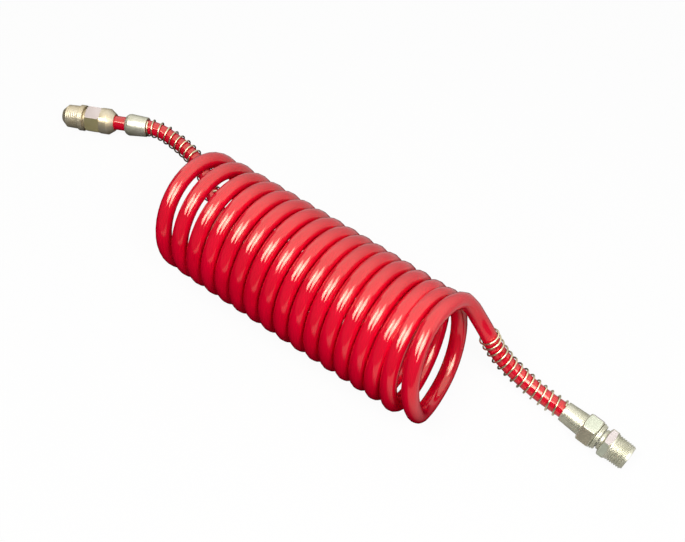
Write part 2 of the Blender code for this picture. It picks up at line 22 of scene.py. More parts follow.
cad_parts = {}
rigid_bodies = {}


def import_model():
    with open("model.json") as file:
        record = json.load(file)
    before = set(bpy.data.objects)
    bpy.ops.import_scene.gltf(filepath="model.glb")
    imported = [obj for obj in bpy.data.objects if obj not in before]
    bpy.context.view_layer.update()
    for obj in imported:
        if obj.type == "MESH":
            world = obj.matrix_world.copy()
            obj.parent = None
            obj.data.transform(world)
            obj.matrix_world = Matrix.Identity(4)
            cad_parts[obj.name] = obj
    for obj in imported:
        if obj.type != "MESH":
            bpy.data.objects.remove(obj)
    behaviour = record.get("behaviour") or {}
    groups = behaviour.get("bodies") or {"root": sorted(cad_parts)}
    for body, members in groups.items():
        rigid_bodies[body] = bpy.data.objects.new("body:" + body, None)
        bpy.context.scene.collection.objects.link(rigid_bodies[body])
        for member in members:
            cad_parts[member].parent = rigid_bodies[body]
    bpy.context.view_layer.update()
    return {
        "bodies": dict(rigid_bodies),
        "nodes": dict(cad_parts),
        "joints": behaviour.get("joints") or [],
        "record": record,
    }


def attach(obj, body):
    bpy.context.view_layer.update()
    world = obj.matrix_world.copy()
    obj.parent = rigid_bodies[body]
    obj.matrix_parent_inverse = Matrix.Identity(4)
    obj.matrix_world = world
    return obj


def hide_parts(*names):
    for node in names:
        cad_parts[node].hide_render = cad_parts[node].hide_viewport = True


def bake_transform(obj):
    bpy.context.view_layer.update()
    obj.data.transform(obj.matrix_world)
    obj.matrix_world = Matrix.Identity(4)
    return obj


LOG = logging.getLogger("air_brake_hose")

Outline = list[tuple[float, float]]
Knots = tuple[tuple[float, float], ...]
Place = tuple[float, float, float]
Stops = tuple[tuple[float, str], ...]

WHOLE_TURN = 2.0 * math.pi
HEX_SIDES = 6
FLAT_NUMBER = "flat_number"
MERGE_DISTANCE = 0.000001
# Almost all of the noise texture's values lie between these two.
NOISE_RANGE = (0.3, 0.7)


class Body(Enum):
    """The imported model's rigid bodies that pieces ride on."""

    HOSE = "hose_and_end_a"
    COLLAR = "sliding_collar"
    END_B = "end_b"
    STEM = "swivel_stem"


class Slot(Enum):
    """The record's material slots."""

    NYLON = "red_nylon"
    PLATED = "plated_steel"
    SPRING = "spring_wire"
    BRASS = "brass"
    RUBBER = "seal_rubber"
    ACETAL = "white_acetal"


def tint(code: str) -> tuple[float, float, float, float]:
    """Turn an sRGB hex colour into a linear colour.

    Args:
        code: A colour such as "#C0A080".

    Returns:
        Red, green, blue and alpha for a shader socket.
    """
    channels = [int(code[i : i + 2], 16) / 255 for i in (1, 3, 5)]
    linear = [c / 12.92 if c <= 0.04045 else ((c + 0.055) / 1.055) ** 2.4 for c in channels]
    return (linear[0], linear[1], linear[2], 1.0)


def add_node(
    tree: bpy.types.NodeTree,
    kind: str,
    settings: dict[str, object] | None = None,
    inputs: dict[str | int, object] | None = None,
) -> bpy.types.Node:
    """Add a node with its settings, and fill or link its inputs.

    Args:
        tree: The node tree.
        kind: The node's type name.
        settings: Attributes to set on the node.
        inputs: Values or output sockets, by the input's name or number.

    Returns:
        The new node.
    """
    node = tree.nodes.new(kind)
    for name, value in (settings or {}).items():
        setattr(node, name, value)
    for name, value in (inputs or {}).items():
        if isinstance(value, bpy.types.NodeSocket):
            tree.links.new(value, node.inputs[name])
        else:
            node.inputs[name].default_value = value
    return node


def fill_ramp(ramp: bpy.types.Node, stops: Stops) -> None:
    """Set a colour ramp's stops from places and hex colours."""
    elements = ramp.color_ramp.elements
    while len(elements) < len(stops):
        elements.new(1.0)
    for element, (at, code) in zip(elements, stops):
        element.position = at
        element.color = tint(code)


class Coating:
    """A material under way: its node tree, its Principled shader and what feeds them."""

    def __init__(self, name: str, metallic: float) -> None:
        """Start a material.

        Args:
            name: The material's name.
            metallic: 1 for bare or plated metal, 0 for the rest.
        """
        self.material = bpy.data.materials.new(name)
        self.material.use_nodes = True
        self.tree = self.material.node_tree
        self.shader = self.tree.nodes["Principled BSDF"]
        self.shader.inputs["Metallic"].default_value = metallic

    def feed(self, name: str, source: bpy.types.NodeSocket) -> None:
        """Link a socket to the shader's input of that name."""
        self.tree.links.new(source, self.shader.inputs[name])

    def mottle(self, patch: float, detail: float, offset: float = 0.0) -> bpy.types.NodeSocket:
        """Add soft noise over a piece.

        Args:
            patch: The size of one patch, in metres.
            detail: Octaves of finer noise.
            offset: Moves the noise, so that two patterns differ.

        Returns:
            The noise, from 0 to 1.
        """
        where = add_node(self.tree, "ShaderNodeTexCoord")
        moved = add_node(
            self.tree,
            "ShaderNodeMapping",
            inputs={"Vector": where.outputs["Object"], "Location": (offset, offset, offset)},
        )
        noise = add_node(
            self.tree,
            "ShaderNodeTexNoise",
            inputs={"Vector": moved.outputs["Vector"], "Scale": 1.0 / patch, "Detail": detail},
        )
        return noise.outputs["Fac"]

    def shades(
        self, value: bpy.types.NodeSocket, stops: Stops, blending: str = "LINEAR"
    ) -> bpy.types.NodeSocket:
        """Turn a 0 to 1 value into colours.

        Args:
            value: The value.
            stops: Places and hex colours.
            blending: How one stop passes into the next.

        Returns:
            The colour.
        """
        ramp = add_node(self.tree, "ShaderNodeValToRGB", inputs={"Fac": value})
        ramp.color_ramp.interpolation = blending
        fill_ramp(ramp, stops)
        return ramp.outputs["Color"]

    def gloss(self, noise: bpy.types.NodeSocket, roughness: tuple[float, float]) -> None:
        """Vary the roughness between two values by a noise."""
        low, high = NOISE_RANGE
        glossiest, dullest = roughness
        spread = add_node(
            self.tree,
            "ShaderNodeMapRange",
            inputs={
                "Value": noise,
                "From Min": low,
                "From Max": high,
                "To Min": glossiest,
                "To Max": dullest,
            },
        )
        self.feed("Roughness", spread.outputs["Result"])

    def relief(self, height: bpy.types.NodeSocket, depth: float, strength: float) -> None:
        """Raise the surface a little by a noise, over a depth in metres."""
        bump = add_node(
            self.tree,
            "ShaderNodeBump",
            inputs={"Height": height, "Distance": depth, "Strength": strength},
        )
        self.feed("Normal", bump.outputs["Normal"])


@dataclass(frozen=True)
class Nylon:
    """Nylon 12 air tube, extruded: one clear red under a wet gloss, with a faint waviness."""

    stops: Stops = ((0.35, "#DE032B"), (0.62, "#EA0430"))
    ior: float = 1.53
    gloss: float = 0.85
    gloss_tint: str = "#FFE8CC"
    patch: float = 0.03
    wave: float = 0.02
    wave_depth: float = 0.00005
    roughness: tuple[float, float] = (0.08, 0.13)

    def build(self) -> bpy.types.Material:
        """Make the tube's material."""
        coating = Coating("extruded red nylon tube", metallic=0.0)
        patches = coating.mottle(self.patch, detail=2.0)
        coating.feed("Base Color", coating.shades(patches, self.stops))
        coating.gloss(coating.mottle(self.patch / 2, detail=3.0, offset=0.3), self.roughness)
        waves = coating.mottle(self.wave, detail=1.0, offset=0.7)
        coating.relief(waves, self.wave_depth, strength=1.0)
        inputs = coating.shader.inputs
        inputs["IOR"].default_value = self.ior
        inputs["Specular IOR Level"].default_value = self.gloss
        inputs["Specular Tint"].default_value = tint(self.gloss_tint)
        return coating.material


@dataclass(frozen=True)
class ZincPlate:
    """Turned steel under yellow chromated zinc: olive to straw, with pink and green bloom.

    Each milled flat carries its own tint: partly the film's colour, which changes with its
    thickness, and partly painted light and shade, paler for the top flat and darker for the lower
    ones.
    """

    name: str = "yellow chromated zinc plate"
    stops: Stops = ((0.32, "#B0AE98"), (0.50, "#BDBBA6"), (0.68, "#C5C2B0"))
    # Flat tints: the film's own colour with painted light and shade, paler on top, darker below.
    flats: tuple[str, ...] = ("#A5A188", "#9E957E", "#BEC4B0", "#BCB0B2", "#B6AC76", "#A09A7C")
    flat_share: float = 0.75
    patch: float = 0.010
    grain: float = 0.0008
    grain_depth: float = 0.000002
    grain_strength: float = 0.4
    metallic: float = 0.55
    roughness: tuple[float, float] = (0.34, 0.42)

    def build(self) -> bpy.types.Material:
        """Make the plated steel."""
        coating = Coating(self.name, self.metallic)
        tree = coating.tree
        bloom = coating.shades(coating.mottle(self.patch, detail=1.0), self.stops)
        # Milled flats take a constant tint by number, painted light and shade included.
        number = add_node(tree, "ShaderNodeAttribute", {"attribute_name": FLAT_NUMBER})
        steps = len(self.flats) + 1
        stops = tuple(((i + 0.5) / steps, code) for i, code in enumerate(self.flats))
        sides = coating.shades(number.outputs["Fac"], stops, "CONSTANT")
        milled = add_node(
            tree,
            "ShaderNodeMath",
            {"operation": "GREATER_THAN"},
            {0: number.outputs["Fac"], 1: 0.5 / steps},
        )
        share = add_node(
            tree,
            "ShaderNodeMath",
            {"operation": "MULTIPLY"},
            {0: milled.outputs["Value"], 1: self.flat_share},
        )
        shade = add_node(
            tree,
            "ShaderNodeMixRGB",
            inputs={"Fac": share.outputs["Value"], "Color1": bloom, "Color2": sides},
        )
        coating.feed("Base Color", shade.outputs["Color"])
        coating.gloss(coating.mottle(self.patch / 2, detail=1.0, offset=0.4), self.roughness)
        grain = coating.mottle(self.grain, detail=2.0, offset=0.9)
        coating.relief(grain, self.grain_depth, self.grain_strength)
        return coating.material


@dataclass(frozen=True)
class Plain:
    """A finish that is mostly hidden: brass, rubber or acetal, with a little variation."""

    name: str
    dark: str
    light: str
    metallic: float
    roughness: tuple[float, float]
    patch: float = 0.003

    def build(self) -> bpy.types.Material:
        """Make the material."""
        coating = Coating(self.name, self.metallic)
        stops = ((0.35, self.dark), (0.65, self.light))
        patches = coating.mottle(self.patch, detail=2.0)
        coating.feed("Base Color", coating.shades(patches, stops))
        coating.gloss(coating.mottle(self.patch, detail=2.0, offset=0.5), self.roughness)
        return coating.material


@dataclass
class Finishes:
    """Every finish on the hose, made once."""

    nylon: bpy.types.Material
    plate_a: bpy.types.Material
    plate_b: bpy.types.Material
    spring: bpy.types.Material
    brass: bpy.types.Material
    rubber: bpy.types.Material
    acetal: bpy.types.Material

    @classmethod
    def build(cls) -> Finishes:
        """Make all the finishes."""
        warm = ((0.32, "#B8A988"), (0.50, "#C4B79A"), (0.68, "#CBC1A9"))
        return cls(
            nylon=Nylon().build(),
            plate_a=ZincPlate(name="yellow chromated zinc plate, warm", stops=warm).build(),
            plate_b=ZincPlate().build(),
            spring=ZincPlate(
                name="plated spring wire",
                stops=((0.35, "#B4AD8C"), (0.60, "#D6CCA8")),
                metallic=0.9,
                roughness=(0.24, 0.32),
            ).build(),
            brass=Plain("turned brass", "#B58F3E", "#D9B45C", 1.0, (0.2, 0.35)).build(),
            rubber=Plain("moulded nitrile rubber", "#0E0E0E", "#1C1C1C", 0.0, (0.5, 0.7)).build(),
            acetal=Plain("turned white acetal", "#D2D0C8", "#E4E2DA", 0.0, (0.35, 0.5)).build(),
        )


def put_in_scene(name: str, data: bpy.types.ID) -> bpy.types.Object:
    """Add an object that holds a curve, a lamp or a camera."""
    thing = bpy.data.objects.new(name, data)
    bpy.context.scene.collection.objects.link(thing)
    return thing


def add_sheet(name: str, side: float) -> bpy.types.Object:
    """Add a flat square sheet at the origin, facing up and alone selected."""
    bpy.ops.object.select_all(action="DESELECT")
    bpy.ops.mesh.primitive_plane_add(size=side)
    sheet = bpy.context.object
    sheet.name = name
    sheet.data.name = name
    return sheet


def only(piece: bpy.types.Object) -> None:
    """Select one object alone and make it active."""
    if bpy.context.object and bpy.context.object.mode != "OBJECT":
        bpy.ops.object.mode_set(mode="OBJECT")
    bpy.ops.object.select_all(action="DESELECT")
    piece.select_set(True)
    bpy.context.view_layer.objects.active = piece


def smooth(piece: bpy.types.Object, degrees: float) -> None:
    """Shade a piece smooth wherever its faces meet at less than an angle."""
    only(piece)
    bpy.ops.object.shade_smooth_by_angle(angle=math.radians(degrees))


def from_axis(point: Vector) -> float:
    """Return a point's distance from its fitting's axis."""
    return math.hypot(point.x, point.y)


def turns_round(point: Vector) -> float:
    """Return how far round its fitting's axis a point lies, in turns."""
    return math.atan2(point.y, point.x) / WHOLE_TURN


def sink(point: Vector, depth: float) -> None:
    """Move a point towards its fitting's axis."""
    share = 1.0 - depth / from_axis(point)
    point.x *= share
    point.y *= share


def turn(name: str, outline: Outline, sides: int = 96) -> bpy.types.Object:
    """Turn a closed outline about Z, as on a lathe.

    Args:
        name: The piece's name.
        outline: Radii and stations round the section, without repeating the first.
        sides: Steps round the axis.

    Returns:
        A closed mesh object at the origin.
    """
    radius, station = outline[0]
    piece = add_sheet(name, side=0.001)
    bpy.ops.object.mode_set(mode="EDIT")
    bpy.ops.mesh.select_all(action="SELECT")
    bpy.ops.mesh.merge(type="CENTER")
    bpy.ops.transform.translate(value=(radius, 0.0, station))
    for (r0, z0), (r1, z1) in zip(outline, outline[1:]):
        bpy.ops.mesh.extrude_region_move(
            TRANSFORM_OT_translate={"value": (r1 - r0, 0.0, z1 - z0)}
        )
    bpy.ops.mesh.select_all(action="DESELECT")
    bpy.ops.object.mode_set(mode="OBJECT")
    count = len(piece.data.vertices)
    for vertex in piece.data.vertices:
        vertex.select = vertex.index in (0, count - 1)
    bpy.ops.object.mode_set(mode="EDIT")
    bpy.ops.mesh.edge_face_add()
    bpy.ops.mesh.select_all(action="SELECT")
    bpy.ops.mesh.spin(
        steps=sides, angle=WHOLE_TURN, center=(0.0, 0.0, 0.0), axis=(0.0, 0.0, 1.0)
    )
    bpy.ops.mesh.select_all(action="SELECT")
    bpy.ops.mesh.remove_doubles(threshold=MERGE_DISTANCE)
    bpy.ops.mesh.normals_make_consistent(inside=False)
    bpy.ops.object.mode_set(mode="OBJECT")
    return piece


def apply_modifier(piece: bpy.types.Object, kind: str, settings: dict[str, object]) -> None:
    """Add a modifier with its settings and apply it."""
    only(piece)
    modifier = piece.modifiers.new(kind.lower(), kind)
    for name, value in settings.items():
        setattr(modifier, name, value)
    bpy.ops.object.modifier_apply(modifier=modifier.name)


def cut_flats(
    piece: bpy.types.Object, start: float, end: float, across: float, turned: float = 0.0
) -> None:
    """Mill a hexagon on a turned blank, with a flat facing down the frame's X.

    Args:
        piece: The blank, in its fitting's frame.
        start: The first station of the flats.
        end: The last station of the flats.
        across: The size across flats.
        turned: How far the hexagon is turned about the axis, in radians.
    """
    bpy.ops.object.select_all(action="DESELECT")
    bpy.ops.mesh.primitive_cylinder_add(
        vertices=HEX_SIDES,
        radius=across / math.sqrt(3.0),
        depth=end - start,
        end_fill_type="NOTHING",
        location=(0.0, 0.0, (start + end) / 2),
        rotation=(0.0, 0.0, turned),
    )
    cutter = bpy.context.object
    bpy.ops.object.transform_apply(location=True, rotation=True, scale=True)
    wall = {"thickness": across / 4, "offset": 1.0, "use_even_offset": True}
    apply_modifier(cutter, "SOLIDIFY", wall)
    apply_modifier(
        piece, "BOOLEAN", {"operation": "DIFFERENCE", "object": cutter, "solver": "EXACT"}
    )
    bpy.data.objects.remove(cutter)


def number_flats(piece: bpy.types.Object, across: float, turned: float, first: int) -> None:
    """Store on each milled flat the number of its tint, as a share of the tints.

    Args:
        piece: The milled piece, in its fitting's frame.
        across: The size across flats.
        turned: How far the hexagon is turned about the axis, in radians.
        first: The tint of the flat that faces down, counted from 0.
    """
    tilt_allowed = 0.02
    gap_allowed = 0.0002
    shares = piece.data.attributes.new(FLAT_NUMBER, "FLOAT", "FACE")
    for face in piece.data.polygons:
        out = face.normal
        gap = abs(out.dot(face.center) - across / 2)
        if abs(out.z) < tilt_allowed and gap < gap_allowed:
            side = round((turns_round(out) - turned / WHOLE_TURN) * HEX_SIDES)
            number = (side + first) % HEX_SIDES + 1
            shares.data[face.index].value = number / (HEX_SIDES + 1)


def soften(piece: bpy.types.Object, width: float, angle: float = 25.0) -> None:
    """Round a piece's sharp edges by a small width and shade it smooth between them."""
    apply_modifier(
        piece,
        "BEVEL",
        {
            "width": width,
            "segments": 2,
            "limit_method": "ANGLE",
            "angle_limit": math.radians(angle),
            "use_clamp_overlap": True,
        },
    )
    smooth(piece, 40.0)


def place(piece: bpy.types.Object, frame: Matrix) -> None:
    """Move a finished piece from its fitting's frame to its place, and apply that place."""
    only(piece)
    piece.matrix_world = frame
    bpy.ops.object.transform_apply(location=True, rotation=True, scale=True)


def finish_piece(
    piece: bpy.types.Object,
    material: bpy.types.Material,
    replaced: tuple[str, ...],
    body: Body | None,
) -> bpy.types.Object:
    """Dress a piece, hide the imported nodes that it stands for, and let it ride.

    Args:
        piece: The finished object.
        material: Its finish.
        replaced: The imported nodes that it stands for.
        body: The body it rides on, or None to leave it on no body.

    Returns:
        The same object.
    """
    piece.data.materials.clear()
    piece.data.materials.append(material)
    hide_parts(*replaced)
    if body is not None:
        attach(piece, body.value)
    LOG.info("%s: %d faces", piece.name, len(piece.data.polygons))
    return piece


def cut_thread(
    piece: bpy.types.Object, span: tuple[float, float], bore: float, pitch: float, depth: float
) -> None:
    """Cut a right-hand thread into the outside of a turned piece, running out at its end.

    Args:
        piece: The turned piece, in its fitting's frame.
        span: The stations where the thread starts and where it has run out.
        bore: The radius of the hole, which is left as it is.
        pitch: The distance from one turn to the next.
        depth: The depth of the groove.
    """
    start, end = span
    for vertex in piece.data.vertices:
        point = vertex.co
        if start <= point.z < end and from_axis(point) >= bore + depth:
            phase = point.z / pitch - turns_round(point)
            groove = 0.5 - 0.5 * math.cos(WHOLE_TURN * phase)
            runout = min(1.0, (end - point.z) / pitch)
            sink(point, depth * groove * runout)


def smooth_thread(piece: bpy.types.Object, span: tuple[float, float], bore: float) -> None:
    """Shade a turned piece smooth, sharp at its edges but not along its thread."""
    smooth(piece, 35.0)
    start, end = span
    last = end - 0.0001
    wall = bore + 0.001
    for edge in piece.data.edges:
        ends = [piece.data.vertices[index].co for index in edge.vertices]
        if all(start < point.z < last and from_axis(point) > wall for point in ends):
            edge.use_edge_sharp = False


def rib(
    piece: bpy.types.Object, span: tuple[float, float], inside: float, depth: float, sides: int
) -> None:
    """Press fine ribs along a turned piece, by sinking every other step round its axis.

    Args:
        piece: The turned piece, in its fitting's frame.
        span: The first and last station of the ribs.
        inside: The radius under which nothing is pressed.
        depth: The depth between the ribs.
        sides: The piece's steps round the axis.
    """
    start, end = span
    for vertex in piece.data.vertices:
        point = vertex.co
        outside = start < point.z < end and from_axis(point) > inside
        if outside and round(turns_round(point) * sides) % 2:
            sink(point, depth)


def monotone(pairs: Knots, at: float) -> float:
    """Read a smooth curve through knots that never overshoots its values.

    Args:
        pairs: Places in rising order, each with its value. The ends hold beyond them.
        at: Where to read the curve.

    Returns:
        The value there.
    """
    knots = [knot for knot, _ in pairs]
    values = [value for _, value in pairs]
    at = min(max(at, knots[0]), knots[-1])
    steps = [b - a for a, b in zip(knots, knots[1:])]
    slopes = [(b - a) / h for a, b, h in zip(values, values[1:], steps)]
    tangents = [slopes[0]]
    for left, right in zip(slopes, slopes[1:]):
        tangents.append(0.0 if left * right <= 0 else 2 * left * right / (left + right))
    tangents.append(slopes[-1])
    i = 0
    while i < len(steps) - 1 and at > knots[i + 1]:
        i += 1
    u = (at - knots[i]) / steps[i]
    h = steps[i]
    return (
        values[i] * (1 + 2 * u) * (1 - u) ** 2
        + values[i + 1] * u * u * (3 - 2 * u)
        + h * tangents[i] * u * (1 - u) ** 2
        - h * tangents[i + 1] * u * u * (1 - u)
    )


def smooth_through(points: list[Vector], per_span: int) -> list[Vector]:
    """Return closely spaced points of a smooth curve through the given points, end to end."""
    chain = [points[0] * 2 - points[1], *points, points[-1] * 2 - points[-2]]
    curve = [points[0]]
    for before, here, there, after in zip(chain, chain[1:], chain[2:], chain[3:]):
        span = (there - here).length
        leave = (there - before).normalized() * span / 3
        arrive = (after - here).normalized() * span / 3
        curve.extend(interpolate_bezier(here, here + leave, there - arrive, there, per_span)[1:])
    return curve


@dataclass
class Path:
    """A line through space that can be read at a distance along it."""

    points: list[Vector]
    reached: list[float] = field(default_factory=list)

    def __post_init__(self) -> None:
        """Add up the distance to each point."""
        self.reached = [0.0]
        for here, there in zip(self.points, self.points[1:]):
            self.reached.append(self.reached[-1] + (there - here).length)

    def at(self, distance: float) -> tuple[Vector, Vector]:
        """Return the place and the direction at a distance along the line."""
        low, high = 0, len(self.points) - 2
        while low < high:
            middle = (low + high + 1) // 2
            if self.reached[middle] <= distance:
                low = middle
            else:
                high = middle - 1
        step = self.points[low + 1] - self.points[low]
        share = (distance - self.reached[low]) / step.length
        return self.points[low] + step * share, step.normalized()

    def even(self, spacing: float) -> list[Vector]:
        """Return points along the line at even distances near a spacing."""
        count = max(2, round(self.reached[-1] / spacing))
        return [self.at(self.reached[-1] * i / count)[0] for i in range(count + 1)]


@dataclass
class Axis:
    """A fitting's axis: the tip of its thread and the level direction back along it."""

    tip: Vector
    back: Vector

    def at(self, station: float) -> Vector:
        """Return the place of a station."""
        return self.tip + self.back * station

    def frame(self) -> Matrix:
        """Return the matrix that takes the fitting's frame to its place, local X facing down."""
        down = Vector((0.0, 0.0, -1.0))
        side = self.back.cross(down)
        turned = Matrix((down, side, self.back)).transposed().to_4x4()
        return Matrix.Translation(self.tip) @ turned


def round_bar(name: str, points: list[Vector], radius: float, resolution: int) -> bpy.types.Object:
    """Make a round bar along points, with closed ends, as a mesh.

    Args:
        name: The piece's name.
        points: Its centreline.
        radius: Its radius.
        resolution: The curve's bevel resolution.

    Returns:
        The mesh object.
    """
    curve = bpy.data.curves.new(name, "CURVE")
    curve.dimensions = "3D"
    curve.bevel_depth = radius
    curve.bevel_resolution = resolution
    curve.use_fill_caps = True
    spline = curve.splines.new("POLY")
    spline.points.add(len(points) - 1)
    for target, point in zip(spline.points, points):
        target.co = (*point, 1.0)
    only(put_in_scene(name, curve))
    bpy.ops.object.convert(target="MESH")
    bar = bpy.context.object
    bpy.ops.object.mode_set(mode="EDIT")
    bpy.ops.mesh.select_all(action="SELECT")
    bpy.ops.mesh.remove_doubles(threshold=MERGE_DISTANCE)
    bpy.ops.object.mode_set(mode="OBJECT")
    smooth(bar, 50.0)
    return bar


@dataclass
class Hose:
    """The tube: the left lead, the coil and the right lead, in one length."""

    diameter: float = 0.0127
    coil_axis_y: float = -0.0122
    coil_axis_z: float = 0.0508
    first_turn_angle: float = math.radians(-65.0)
    coil_start: float = 0.06
    coil_end: float = 16.66
    points_per_turn: int = 40
    roundness: int = 8
    join_spacing: int = 6
    join_points: int = 3
    lead_spacing: float = 0.004
    still_a: float = 0.006
    still_b: float = 0.004
    # The turns lean and crowd a little, so the coil's line drifts with the turn count. Each list
    # pairs a turn with the place along X, the radius or a lean there.
    turn_x: Knots = (
        (-0.15, 0.1465), (0.05, 0.1446), (0.20, 0.1429), (0.35, 0.1442), (0.43, 0.1448),
        (0.50, 0.1428), (0.58, 0.1387), (0.66, 0.1360), (0.78, 0.1342), (0.90, 0.1325),
        (1.0, 0.1311), (2.0, 0.1163), (4.0, 0.0891), (8.0, 0.0352), (12.0, -0.0226),
        (14.5, -0.0597), (16.0, -0.0840), (17.0, -0.1003),
    )
    turn_radius: Knots = (
        (-0.15, 0.0478), (0.18, 0.0480), (0.35, 0.0450), (0.5, 0.0416), (0.65, 0.0412),
        (1.0, 0.0443), (2.0, 0.0441), (8.0, 0.0444), (15.0, 0.0443), (16.0, 0.0436),
        (17.0, 0.0435),
    )
    lean_up: Knots = (
        (0.0, -0.238), (1.0, -0.238), (2.0, -0.105), (4.0, -0.114), (8.5, -0.095),
        (14.0, -0.066), (16.0, -0.163), (17.0, -0.225),
    )
    lean_back: Knots = (
        (0.0, -0.046), (2.0, -0.05), (4.0, -0.059), (8.5, -0.019), (14.0, -0.063),
        (16.0, -0.108), (17.0, -0.099),
    )
    route_a: tuple[Place, ...] = (
        (-0.1998, 0.0545, 0.0110),
        (-0.1878, 0.0550, 0.0092),
        (-0.1723, 0.0534, 0.0086),
        (-0.1543, 0.0489, 0.0086),
        (-0.1393, 0.0425, 0.0086),
        (-0.1203, 0.0300, 0.0087),
        (-0.1070, 0.0218, 0.0084),
        (-0.0980, 0.0130, 0.0074),
        (-0.0913, 0.0020, 0.0068),
    )
    route_b: tuple[Place, ...] = (
        (0.2122, 0.0276, 0.0135),
        (0.1954, 0.0278, 0.0190),
        (0.1784, 0.0277, 0.0281),
        (0.1650, 0.0282, 0.0400),
        (0.1563, 0.0285, 0.0525),
        (0.1475, 0.0290, 0.0630),
        (0.1405, 0.0275, 0.0742),
    )

    def coil_point(self, wound: float) -> Vector:
        """Return the tube's centre after a number of turns, counted from the right-hand end."""
        angle = WHOLE_TURN * wound + self.first_turn_angle
        radius = monotone(self.turn_radius, wound)
        y = -radius * math.sin(angle)
        z = radius * math.cos(angle)
        lean = monotone(self.lean_up, wound) * z + monotone(self.lean_back, wound) * y
        x = monotone(self.turn_x, wound) + lean
        return Vector((x, self.coil_axis_y + y, self.coil_axis_z + z))

    def coil(self) -> list[Vector]:
        """Return the coil's centreline, from the right-hand end to the left."""
        turns = self.coil_end - self.coil_start
        count = round(turns * self.points_per_turn)
        return [self.coil_point(self.coil_start + turns * i / count) for i in range(count + 1)]

    def lead(self, end: PipeEnd, route: tuple[Place, ...], joins: list[Vector]) -> Path:
        """Return a lead's line from the tube's end in its fitting to the coil.

        Args:
            end: The end that holds the tube.
            route: Points of the bent stretch.
            joins: The coil's first few points, for a smooth join.

        Returns:
            The line up to the coil's first point.
        """
        middle = (end.tube_end + end.straight_end) / 2
        straight = [end.axis.at(station) for station in (end.tube_end, middle, end.straight_end)]
        bend = [Vector(point) for point in route]
        per_span = 12
        curve = smooth_through(straight + bend + joins, per_span)
        return Path(curve[: len(curve) - per_span * (len(joins) - 1)])


@dataclass
class Guard:
    """A spring guard: round wire wound over a lead, with its end turns drawn closer."""

    name: str
    length: float
    turns: float
    closed_turns: tuple[float, float]
    closed: float = 0.5
    wire: float = 0.0014
    mean_radius: float = 0.00765
    points_per_turn: int = 28
    roundness: int = 3

    def build(self, path: Path, start: float) -> bpy.types.Object:
        """Wind the wire.

        Args:
            path: The lead's line, from the fitting.
            start: Where the guard starts on that line.

        Returns:
            The mesh object.
        """
        count = round(self.turns * self.points_per_turn)
        points = []
        for i in range(count + 1):
            wound = self.turns * i / count
            centre, ahead = path.at(start + self.advance(wound) * self.length)
            up = Vector((0.0, 0.0, 1.0))
            up = (up - ahead * up.dot(ahead)).normalized()
            side = ahead.cross(up)
            angle = WHOLE_TURN * wound
            out = up * math.cos(angle) + side * math.sin(angle)
            points.append(centre + out * self.mean_radius)
        return round_bar(self.name, points, self.wire / 2, self.roundness)

    def advance(self, wound: float) -> float:
        """Return the share of the guard's length reached after some turns."""
        first, last = self.closed_turns
        middle = self.turns - first - last
        start_part = min(wound, first) * self.closed
        open_part = min(max(wound - first, 0.0), middle)
        end_part = max(wound - self.turns + last, 0.0) * self.closed
        return (start_part + open_part + end_part) / (middle + (first + last) * self.closed)


@dataclass
class Fit:
    """Sizes that both fittings share."""

    gap: float = 0.0003
    tube_hole: float = 0.00665
    hex_across: float = 0.0222
    thread_radius: float = 0.01065
    thread_taper: float = 1.0 / 32.0
    thread_pitch: float = 0.001814
    thread_rings: int = 8
    bore: float = 0.0048
    collar_length: float = 0.0200
    relief_end: float = 0.0086
    relief_depth: float = 0.0006
    straight_lead: float = 0.002
    edge: float = 0.0004
    nut_round: float = 0.00025
    overcut: float = 0.001

    @property
    def corner(self) -> float:
        """The hexagon's radius at its corners."""
        return self.hex_across / math.sqrt(3.0)

    def thread(self, length: float, nose: tuple[float, float]) -> Outline:
        """Return a pipe thread's outline with enough rings to cut the turns into.

        Args:
            length: The station where the thread ends.
            nose: The radius at the tip and the station where the full thread starts.

        Returns:
            Radii and stations, tip first.
        """
        tip_radius, nose_end = nose
        rings = round((length - nose_end) / self.thread_pitch * self.thread_rings)
        outline = [(tip_radius, 0.0)]
        for i in range(rings + 1):
            station = nose_end + (length - nose_end) * i / rings
            outline.append((self.thread_radius - self.thread_taper * (length - station), station))
        return outline

    def hexagon(self, start: float, end: float, start_edge: float, end_edge: float) -> Outline:
        """Return a hexagon blank's outline with 30 degree corner bevels to given radii."""
        slope = math.tan(math.radians(30.0))
        return [
            (start_edge, start),
            (self.corner, start + (self.corner - start_edge) * slope),
            (self.corner, end - (self.corner - end_edge) * slope),
            (end_edge, end),
        ]

    def collar_bore(self, start: float) -> Outline:
        """Return a collar's bore, from its small end back to the relief at its large end."""
        relief = self.tube_hole + self.relief_depth
        return [
            (self.tube_hole, start + self.collar_length),
            (self.tube_hole, start + self.relief_end),
            (relief, start + self.relief_end - self.relief_depth),
            (relief, start),
        ]


@dataclass
class PipeEnd:
    """What both ends share: an axis, a collar behind the fitting and a guard over the lead."""

    axis: Axis
    finishes: Finishes
    fit: Fit
    tube_end: float
    collar_start: float
    guard: Guard

    @property
    def collar_end(self) -> float:
        """The station where the collar ends."""
        return self.collar_start + self.fit.collar_length

    @property
    def straight_end(self) -> float:
        """The station where the tube starts to bend."""
        return self.collar_end + self.fit.straight_lead

    @property
    def guard_start(self) -> float:
        """The place along the lead where the guard starts, clear of the collar."""
        return self.collar_end - self.tube_end + self.fit.gap + self.guard.wire / 2

    def seat(
        self, piece: bpy.types.Object, plate: bpy.types.Material, node: str, body: Body
    ) -> bpy.types.Object:
        """Put a turned piece in its place on the axis and dress it.

        Args:
            piece: The piece, in the fitting's frame.
            plate: Its plating.
            node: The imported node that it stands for.
            body: The body it rides on.

        Returns:
            The same object.
        """
        place(piece, self.axis.frame())
        return finish_piece(piece, plate, (node,), body)


